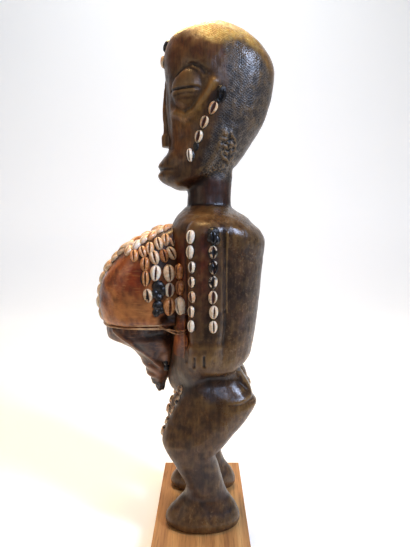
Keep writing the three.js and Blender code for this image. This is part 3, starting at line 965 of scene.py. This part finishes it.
def tube(points, radius, sides=8, wobble=0.12, seed=0):
    """A closed cord along points in millimetres, a little uneven in thickness."""
    points = np.array(points, float)
    heading = np.gradient(points, axis=0)
    heading /= np.linalg.norm(heading, axis=1)[:, None]
    level = np.cross(heading, (0, 0, 1))
    short = np.linalg.norm(level, axis=1) < 0.05
    level[short] = np.cross(heading[short], (0, 1, 0))
    level /= np.linalg.norm(level, axis=1)[:, None]
    upward = np.cross(level, heading)
    angle = np.arange(sides) * 2 * math.pi / sides
    thick = radius * (1 + wobble * rough(points, 3 * radius, seed=seed, octaves=1))[:, None, None]
    around = np.cos(angle)[None, :, None] * level[:, None] + np.sin(angle)[None, :, None] * upward[:, None]
    rings = points[:, None] + thick * around
    return np.vstack([rings.reshape(-1, 3), points[[0, -1]]]), ring_faces(sides, len(points), turned=True)


# The thong round the gathered neck of the pouch: its height, and the shape that it follows
TIE_Z = 291.6
TIE_FRONT, TIE_BACK, TIE_HALF, TIE_SQUARE = -130.6, -9, 55.2, 2.3
TIE_RADIUS = 1.25
TURNS_APART = 1.4


def tie_path(height, past, sag, seed):
    """Round the gathered neck of the pouch, from one side of the body to the other."""
    angle = np.linspace(math.pi - past, 2 * math.pi + past, 130)
    x = TIE_HALF * bulge(np.cos(angle), TIE_SQUARE)
    y = (TIE_FRONT + TIE_BACK) / 2 + (TIE_BACK - TIE_FRONT) / 2 * bulge(np.sin(angle), TIE_SQUARE)
    z = np.full(len(angle), height) + sag * np.abs(np.cos(angle)) ** 3
    path = np.stack([x, y, z], axis=1)
    return path + 0.35 * np.array([rough(path, 16, seed=seed + k, octaves=1) for k in range(3)]).T


def tidy_normals(obj):
    """Makes every closed shell of a mesh face outwards."""
    edit = bmesh.new()
    edit.from_mesh(obj.data)
    bmesh.ops.recalc_face_normals(edit, faces=edit.faces)
    edit.to_mesh(obj.data)
    edit.free()


def make_thong(name, strands, nodes=()):
    """Closed strands as one piece of thong that is clean, flat and unstained."""
    obj = new_object(name, *joined(strands))
    tidy_normals(obj)
    for value in ("stain", "soot", "hollow"):
        set_value(obj, value, np.zeros(len(obj.data.vertices)))
    keep(obj, PALE_HIDE, nodes)


def make_tie():
    upper = tube(tie_path(TIE_Z + TURNS_APART, 0.3, 1, 31), TIE_RADIUS, seed=1)
    lower = tube(tie_path(TIE_Z - TURNS_APART, 0.33, -0.5, 35), TIE_RADIUS, seed=2)
    make_thong("thong_turns", [upper, lower], ["tie_thong"])


STRAP_PINCH = 287


def settle(obj, surface, side):
    """Lets the skirt below the pinch thin out and lie down on the belly."""
    points = points_of(obj)
    for point in points:
        start = Vector((side * OUTSIDE, point[1], point[2]))
        place, *_ = surface.ray_cast(start * MM, Vector((-side, 0, 0)))
        if place is not None:
            over = side * (point[0] - place.x / MM)
            thick = 0.4 + 4.6 * ease(254, 284, point[2])
            point[0] -= side * max(over - thick, 0)
    place_points(obj, points)


def make_strap(name, side, body):
    """The hide drawn down beside the belly, pinched by two turns of the tie and pleated below."""
    obj = fused("strap_hide_" + name, [loft(STRAP, side)], 0.7, soften=3)
    points, normals, side_view, _ = flank(obj)
    y, z = side_view.T
    fan = (y + 22) / (1 + 0.02 * np.abs(z - STRAP_PINCH))
    pleats = np.cos(1.5 * fan + 0.8 * rough(points, 9, seed=41))
    move = 0.45 * pleats * np.abs(normals[:, 0]) * ease(0, 6, np.abs(z - STRAP_PINCH)) * ease(253, 268, z)
    move -= 0.8 * hump(z - STRAP_PINCH, 4)
    push(obj, move)
    settle(obj, body, side)
    set_value(obj, "soot", 0.5 * ease(272, 258, z))
    set_value(obj, "stain", ease(296, 306, z))
    set_value(obj, "hollow", hollowness(obj))
    keep(obj, STRAP_HIDE, ["side_strap_" + name])
    turns = []
    angle = np.linspace(0, 2 * math.pi, 33)
    x, back = side * (57 + 5.6 * np.cos(angle)), -24.8 + 6.3 * np.sin(angle)
    for height in (STRAP_PINCH + 1.8, STRAP_PINCH - 1.4):
        turns.append(tube(np.stack([x, back, height + 0.6 * np.sin(angle)], 1), 1, seed=5))
    # The ends of the tie cross over and run into the pinch
    share = np.linspace(0, 1, 14)
    for rise in (TURNS_APART, -TURNS_APART):
        level = TIE_Z + rise + (STRAP_PINCH - TIE_Z - 2.4 * rise) * share
        turns.append(tube(np.stack([side * (52 + 9.5 * share), -54 + 23 * share, level], 1), 1.1, seed=6))
    make_thong("wraps_" + name, turns)


# Cowries

Seat = namedtuple("Seat", "place normal along kind tone soot size", defaults=(0, 0.3, 0, 1))
UP = Vector((0, 0, 1))


def meet(surface, start, heading, spread=2.5):
    """Where a line meets a surface and which way it faces there, averaged over four lines close by."""
    heading = Vector(heading).normalized()
    aside = heading.orthogonal().normalized() * spread
    places, normals = Vector(), Vector()
    count = 0
    for quarter in range(4):
        offset = Matrix.Rotation(quarter * math.pi / 2, 3, heading) @ aside
        place, normal, *_ = surface.ray_cast((Vector(start) + offset) * MM, heading)
        if place is not None:
            places += place / MM
            normals += normal
            count += 1
    return (places / count, normals.normalized()) if count else (None, None)


def seat(surface, start, heading, lean=0, upward=UP, **facts):
    """A shell's seat on a surface: its length runs upward along it, turned by the lean."""
    place, normal = meet(surface, start, heading)
    if place is None:
        return None
    along = (upward - upward.dot(normal) * normal).normalized()
    along.rotate(Matrix.Rotation(lean, 3, normal))
    return Seat(place, normal, along, **facts)


def raised(seats, amount):
    return [each._replace(place=each.place + amount * each.normal) for each in seats]


def across(each):
    return each.along.cross(each.normal)


# Half the width of the mouth and the height of its floor, for each kind
MOUTHS = {WHOLE: (0.17, 0.4), OPEN: (0.46, 0.48), BROKEN: (0.2, 0.3), SLENDER: (0.22, 0.3)}


def shell_form(kind, stations=17):
    """A cowrie one unit long, wide and high with its mouth up."""
    half_mouth, floor = MOUTHS[kind]
    girth = 0.68 if kind == SLENDER else 1
    sides = [(0, floor), (half_mouth * 0.6, floor), (half_mouth, 0.82), (half_mouth + 0.1, 1), (0.5, 0.97)]
    sides += [(0.74, 0.8), (0.92, 0.52), (1, 0.15), (0.9, -0.2), (0.5, -0.35)]
    loop = sides + [(0, -0.38)] + [(-w, h) for w, h in sides[:0:-1]]
    points, inner = [], []
    for i in range(stations):
        t = -math.cos(math.pi * (i + 0.8) / (stations + 0.6))
        wide = girth * math.sqrt(1 - t * t) * (1 + 0.12 * t)
        high = (1 - abs(t) ** 2.6) ** 0.5
        for w, h in loop:
            tooth = 0.05 * (-1) ** i if kind == WHOLE and abs(w) == half_mouth else 0
            shut = (1 - abs(t) ** 4) if abs(w) <= half_mouth + 0.1 else 1
            level = h * high
            if kind == BROKEN and w < -0.1 and h > 0:
                level *= 0.35
            points.append((0.5 * wide * (w * shut + tooth * np.sign(w)), 0.5 * t, level))
            deep = abs(w) <= half_mouth * 0.61 and h > 0
            inner.append(1 if deep else 0.5 if abs(w) <= half_mouth else 0)
    points += [(0, -0.5, 0.05), (0, 0.5, 0.05)]
    return points, ring_faces(len(loop), stations), inner + [0, 0]


def shell_masters():
    """One shell of each kind, in a collection of their own."""
    holder = bpy.data.collections.new("shell_masters")
    bpy.context.scene.collection.children.link(holder)
    for kind, label in enumerate(("0_whole", "1_open", "2_broken", "3_slender")):
        points, faces, inner = shell_form(kind)
        obj = new_object("shell_" + label, np.array(points) / MM, faces)
        tidy_normals(obj)
        set_value(obj, "inner", inner)
        bpy.context.scene.collection.objects.unlink(obj)
        holder.objects.link(obj)
    return holder


def shell_tree(masters):
    """Puts a shell on every seat. The sizes are inputs, and each shell's own values come from its seat."""
    tree = bpy.data.node_groups.new("shells_on_seats", "GeometryNodeTree")
    tree.interface.new_socket("Seats", in_out="INPUT", socket_type="NodeSocketGeometry")
    for name in ("Length", "Width", "Height", "Unevenness"):
        tree.interface.new_socket(name, in_out="INPUT", socket_type="NodeSocketFloat")
    tree.interface.new_socket("Seed", in_out="INPUT", socket_type="NodeSocketInt")
    tree.interface.new_socket("Shells", in_out="OUTPUT", socket_type="NodeSocketGeometry")
    given = tree.nodes.new("NodeGroupInput").outputs
    add = partial(node, tree)
    size, kind, turn = [
        add("GeometryNodeInputNamedAttribute", Name=name, data_type=sort)
        for name, sort in (("size", "FLOAT"), ("kind", "INT"), ("turn", "FLOAT_VECTOR"))
    ]
    lowest = add(MATHS, 1.0, given["Unevenness"], operation="SUBTRACT")
    highest = add(MATHS, 1.0, given["Unevenness"], operation="ADD")
    chance = add("FunctionNodeRandomValue", Min=lowest, Max=highest, Seed=given["Seed"], data_type="FLOAT")
    box = add("ShaderNodeCombineXYZ", given["Width"], given["Length"], given["Height"])
    sized = add(MATHS, chance, size, operation="MULTIPLY")
    placed = add(
        "GeometryNodeInstanceOnPoints", Points=given["Seats"], Pick_Instance=True, Instance_Index=kind,
        Instance=add("GeometryNodeCollectionInfo", masters, True, True), Rotation=turn,
        Scale=add("ShaderNodeVectorMath", box, Scale=sized, operation="SCALE"),
    )
    real = add("GeometryNodeRealizeInstances", placed)
    add("NodeGroupOutput", add("GeometryNodeSetMaterial", real, Material=SHELL))
    return tree


def make_shells(name, seats, tree, nodes=(), length=SHELL_LONG):
    """One piece with a shell on each seat."""
    obj = new_object(name, [each.place for each in seats], [])
    turns = [Matrix((across(s), s.along, s.normal)).transposed().to_euler() for s in seats]
    layer = obj.data.attributes.new("turn", "FLOAT_VECTOR", "POINT")
    layer.data.foreach_set("vector", np.array(turns, np.float32).ravel())
    layer = obj.data.attributes.new("kind", "INT", "POINT")
    layer.data.foreach_set("value", [each.kind for each in seats])
    for field in ("tone", "soot", "size"):
        set_value(obj, field, [getattr(each, field) for each in seats])
    modifier = obj.modifiers.new("shells", "NODES")
    modifier.node_group = tree
    sizes = {"Length": length * MM, "Width": SHELL_WIDE * MM, "Height": SHELL_HIGH * MM}
    sizes.update({"Unevenness": 0.05, "Seed": SEED})
    for item in tree.interface.items_tree:
        if item.name in sizes:
            modifier[item.identifier] = sizes[item.name]
    baked(obj)
    return keep(obj, SHELL, nodes)


def bed(each, wide=6, long=8.6, high=2.1):
    """The flat pad of resin that a shell is pressed into, by half its width, length and height."""
    axes = [across(each), each.along, each.normal]
    return ball(each.place, (wide * each.size, long * each.size, high), axes)


def make_resin(name, forms, voxel=0.8):
    obj = fused(name, forms, voxel, soften=3)
    points = points_of(obj)
    push(obj, 0.4 * rough(points, 3.2, seed=51) + 0.1 * rough(points, 1.3, seed=52))
    return keep(obj, RESIN)


def side_seats(surface, side):
    """The shells beside the face and down the arm, on one side."""
    chance = np.random.default_rng(SEED + side)
    inward = (-side, 0, 0)
    cheek = [
        seat(surface, (side * OUTSIDE, y, z), inward, -side * lean, kind=kind, tone=tone, soot=soot)
        for y, z, lean, kind, tone, soot in CHEEK_SHELLS
    ]
    front, outer = [], []
    for z, (tone, size, front_kind, soot, outer_kind) in zip(ARM_ROW_HEIGHTS, ARM_SHELLS):
        tilt = chance.normal(0, 0.05)
        start = (side * OUTSIDE, ARM_FRONT_Y + 0.5 * chance.normal(), z)
        front.append(seat(surface, start, inward, side * 0.03 + tilt, kind=front_kind, tone=tone, size=size))
        start = (side * OUTSIDE, ARM_OUTER_Y + 0.5 * chance.normal(), z)
        outer.append(seat(surface, start, inward, -tilt, kind=outer_kind, tone=0.15, soot=soot))
    return cheek, front, outer


# The middle of the charge, and how far out from it the lines to its surface start
MIDDLE = Vector((0, -58, 330))
AROUND = 150
RIM_SPACING = 16.4
RIM_RAISED = 2
# Rows of the shell cape on the charge's side: where the first and last shell lie, how many shells, how orange
# they are, their lean and their size
CAPE_ROWS = [
    ((13, -45, 418), (21, -93, 393), 6, 0.3, 0.1, 0.98),
    ((23, -42, 417), (34, -88, 391), 6, 0.35, 0.1, 1),
    ((35, -42, 412), (47, -87, 385), 6, 0.35, 0.15, 1),
    ((50, -36, 402), (56, -80, 379), 6, 0.4, 0.15, 1.02),
    ((56, -24, 391), (60, -68, 370), 5, 0.45, 0.2, 1.1),
    ((33.5, -90, 392), (30.7, -118, 366.4), 4, 0.3, -0.7, 0.98),
]
# The larger shells below it: how far back, how high, lean, kind, tone, soot and size
CAPE_LOW = [
    (-55, 360, -0.08, WHOLE, 0, 0, 1.25),
    (-39.5, 359.5, 0.05, WHOLE, 0.25, 0, 1.4),
    (-26, 361, 0, WHOLE, 0.6, 0, 1.3),
    (-67, 353.5, 0, SLENDER, 0.55, 0, 1.25),
    (-25, 341, 0, WHOLE, 0.65, 0, 1.25),
    (-39, 338.5, 0, OPEN, 0, 0.25, 1.15),
    (-64.5, 332.5, 0.15, BROKEN, 0.3, 0, 1.1),
    (-39.5, 318, 0, WHOLE, 0.55, 0, 1.45),
    (-24.5, 318, 0.2, WHOLE, 0.1, 0, 1.45),
]


def rim_seats(surface):
    """Shells end to end along the charge's middle, from the tie in front up to the chest."""
    chance = np.random.default_rng(SEED)
    outward = [Vector((0, -math.cos(a), math.sin(a))) for a in np.linspace(-0.5, 1.7, 240)]
    hits = [surface.ray_cast((MIDDLE + AROUND * heading) * MM, -heading)[0] / MM for heading in outward]
    walked = np.cumsum([0] + [(b - a).length for a, b in zip(hits, hits[1:])])
    seats = []
    for distance in np.arange(SHELL_LONG / 2 + 2, walked[-1], RIM_SPACING):
        heading = outward[int(np.searchsorted(walked, distance))]
        tangent = Vector((0, heading.z, -heading.y))
        seats.append(seat(
            surface, MIDDLE + AROUND * heading, -heading, chance.normal(0, 0.12), tangent,
            kind=OPEN if chance.random() < 0.15 else WHOLE, tone=0.05 + 0.3 * chance.random(),
            size=1.2 + 0.12 * chance.random(),
        ))
    return raised(seats, RIM_RAISED)


def cape_seats(charge, body, side):
    """The shells on the charge's side; the rearmost of the low ones lie on the body beside it."""
    chance = np.random.default_rng(SEED + 10)
    seats = []
    for first, last, count, tone, lean, size in CAPE_ROWS:
        for share in np.linspace(0, 1, count):
            x, y, z = np.array(first) * (1 - share) + np.array(last) * share + chance.normal(0, 0.8, 3)
            outward = Vector((side * x, y - MIDDLE.y, z - MIDDLE.z)).normalized()
            kind = OPEN if chance.random() < 0.08 else WHOLE
            seats.append(seat(
                charge, MIDDLE + AROUND * outward, -outward, side * chance.normal(lean, 0.2), kind=kind,
                tone=tone + chance.normal(0, 0.15), size=size + chance.normal(0, 0.04),
            ))
    for y, z, lean, kind, tone, soot, size in CAPE_LOW:
        line = (side * OUTSIDE, y, z), (-side, 0, 0), side * lean
        facts = {"kind": kind, "tone": tone, "soot": soot, "size": size}
        seats.append(seat(charge, *line, **facts) or seat(body, *line, **facts))
    return seats


def lumps(surface, side, rows):
    """Lumps of resin on a side surface."""
    forms = []
    for y, z, *radii in rows:
        place, normal = meet(surface, (side * OUTSIDE, y, z), (-side, 0, 0))
        along = (UP - UP.dot(normal) * normal).normalized()
        forms.append(ball(place, radii, [along.cross(normal), along, normal]))
    return forms


def numbered(name, seats):
    """The solids that a row of shells stands for."""
    return [f"cowrie_{name}_{i + 1}" for i in range(len(seats))]


def make_shells_and_resin(figure, pouch, flap):
    masters = shell_masters()
    tree = shell_tree(masters)
    body, charge, hanging = surface_of(figure), surface_of(pouch), surface_of(flap)
    forehead = [
        seat(body, (0.5, -OUTSIDE, z), (0, 1, 0), kind=kind, tone=0.2, soot=soot)
        for z, kind, soot in FOREHEAD_SHELLS
    ]
    make_shells("forehead_shells", forehead, tree, numbered("forehead", forehead))
    make_resin("forehead_resin", [bed(each) for each in forehead])
    for name, side in (("left", 1), ("right", -1)):
        cheek, front, outer = side_seats(body, side)
        make_shells("cheek_shells_" + name, cheek, tree, numbered("cheek_" + name, cheek))
        make_resin("cheek_resin_" + name, [bed(each) for each in cheek] + lumps(body, side, CHEEK_LUMPS))
        columns = numbered(f"arm_{name}_front", front) + numbered(f"arm_{name}_outer", outer)
        make_shells("arm_shells_" + name, front + outer, tree, columns)
        make_resin("arm_resin_" + name, [bed(each) for each in front + outer] + lumps(body, side, ARM_LUMPS))
        thigh = [
            seat(body, (side * THIGH_X, -OUTSIDE, z), (0, 1, 0), kind=OPEN, tone=0.3, soot=0.42)
            for z in THIGH_ROW_HEIGHTS
        ]
        thigh = raised(thigh, -THIGH_SUNK)
        make_shells("thigh_shells_" + name, thigh, tree, numbered("thigh_" + name, thigh), THIGH_SHELL_LONG)
        make_resin("thigh_resin_" + name, [bed(each) for each in thigh])
        cape = cape_seats(charge, body, side)
        make_shells("cape_shells_" + name, cape, tree)
        cape_forms = [bed(each, 5.6, 8, 1.8) for each in cape] + lumps(charge, side, CHARGE_LUMPS)
        make_resin("cape_resin_" + name, cape_forms)
        make_resin("knot_" + name, lumps(hanging, side, FLAP_LUMPS))
    rim = rim_seats(charge)
    make_shells("rim_shells", rim, tree)
    make_resin("rim_resin", [bed(each, 5.6, 7.6, 2.8) for each in rim])
    for obj in list(masters.objects):
        bpy.data.objects.remove(obj)
    bpy.data.collections.remove(masters)


# The board

BOARD_WIDE, BOARD_DEEP = 206, 122


def make_board():
    x, y = BOARD_WIDE / 2, BOARD_DEEP / 2
    corners = [(a, b, c) for c in (0, BOARD_THICK) for a, b in ((-x, -y), (x, -y), (x, y), (-x, y))]
    faces = [(3, 2, 1, 0), (4, 5, 6, 7), (0, 1, 5, 4), (1, 2, 6, 5), (2, 3, 7, 6), (3, 0, 4, 7)]
    obj = new_object("plinth_board", corners, faces)
    with_modifier(obj, "BEVEL", width=0.9 * MM, segments=3)
    baked(obj)
    keep(obj, BOARD, ["plinth"])
    for polygon in obj.data.polygons:
        polygon.use_smooth = polygon.area < 500 * MM * MM
    return obj


# Camera, light and floor

COVE_FRONT, COVE_BACK, COVE_RADIUS = 300, -1500, 500
COVE_WIDE, COVE_HIGH = 3000, 3200


# Each light's name, place, width and height, watts and colour, and what it faces if not the chest
LIGHTS = [
    ("warm_overhead", (0.1, -0.12, 1.5), (0.3, 0.3), 8, "#ffd08c"),
    ("warm_behind", (-0.5, -0.1, 1.25), (0.3, 0.3), 9, "#ffd080"),
    ("cool_beside_camera", (0.9, 0.2, 0.85), (0.25, 0.25), 2.2, "#c0d6ff"),
    ("front_soft", (0.9, -1.2, 0.8), (0.7, 0.7), 3, "#ffe6cc"),
    ("cool_window", (0.65, 0.95, 1.15), (0.2, 0.6), 21, "#c8dbff"),
    ("backdrop_wash", (-0.9, 0, 2.4), (1.6, 1.6), 16, "#ffffff", (-1.9, 0, 0.2)),
]
CHEST = (0, 0, 0.38)
ROOM_GLOW = 0.16


def make_camera():
    camera = bpy.data.cameras.new("camera")
    camera.lens = LENS
    camera.sensor_width = SENSOR
    camera.clip_start = 0.05
    holder = bpy.data.objects.new("camera", camera)
    holder.location = (CAMERA_FAR * MM, CAMERA_ASIDE * MM, CAMERA_HIGH * MM)
    holder.rotation_euler = (math.radians(90 - PITCH_DEG), 0, math.pi / 2)
    bpy.context.scene.collection.objects.link(holder)
    bpy.context.scene.camera = holder
    bpy.context.scene.view_settings.view_transform = "Standard"


def add_light(name, place, size, watts, colour, target=CHEST):
    lamp = bpy.data.lights.new(name, "AREA")
    lamp.shape = "RECTANGLE"
    lamp.size, lamp.size_y = size
    lamp.energy = watts
    lamp.color = linear(colour)[:3]
    obj = bpy.data.objects.new(name, lamp)
    obj.location = place
    obj.rotation_euler = (Vector(target) - obj.location).to_track_quat("-Z", "Y").to_euler()
    bpy.context.scene.collection.objects.link(obj)


def light_room():
    """The lights, and the faint glow of the room itself."""
    for light in LIGHTS:
        add_light(*light)
    world = bpy.data.worlds.new("pale_room")
    bpy.context.scene.world = world
    world.use_nodes = True
    background = world.node_tree.nodes["Background"]
    background.inputs["Color"].default_value = linear("#f4f4f6")
    background.inputs["Strength"].default_value = ROOM_GLOW


def pale_paper():
    """Paper lit from behind, most of all far back, so that it stays pale whatever falls on the figure."""
    material, shader, add, place, _ = new_material(
        "pale_paper", Roughness=0.9, Base_Color=linear("#f2f3f2"), Emission_Color=linear("#fdfdff")
    )
    glow = add(RANGE, add("ShaderNodeSeparateXYZ", place, output="X"), -0.3, -1.4, 0.2, 0.3)
    material.node_tree.links.new(glow, shader.inputs["Emission Strength"])
    return material


def make_cove():
    """One pale sheet for the floor and the wall behind, with no line where they meet."""
    profile = [(COVE_FRONT, 0)]
    for angle in np.linspace(0, math.pi / 2, 17):
        profile.append((COVE_BACK - COVE_RADIUS * math.sin(angle), COVE_RADIUS * (1 - math.cos(angle))))
    profile.append((COVE_BACK - COVE_RADIUS, COVE_HIGH))
    points = [(x, y, z) for x, z in profile for y in (-COVE_WIDE, COVE_WIDE)]
    faces = [(i, i + 1, i + 3, i + 2) for i in range(0, len(points) - 2, 2)]
    cove = new_object("pale_cove", points, faces)
    cove.data.shade_smooth()
    cove.data.materials.append(pale_paper())


make_camera()
light_room()
make_cove()
figure = make_figure()
body_surface = surface_of(figure)
pouch = make_pouch(body_surface)
flap = make_flap(body_surface)
make_tie()
make_strap("left", 1, body_surface)
make_strap("right", -1, body_surface)
make_shells_and_resin(figure, pouch, flap)
make_board()
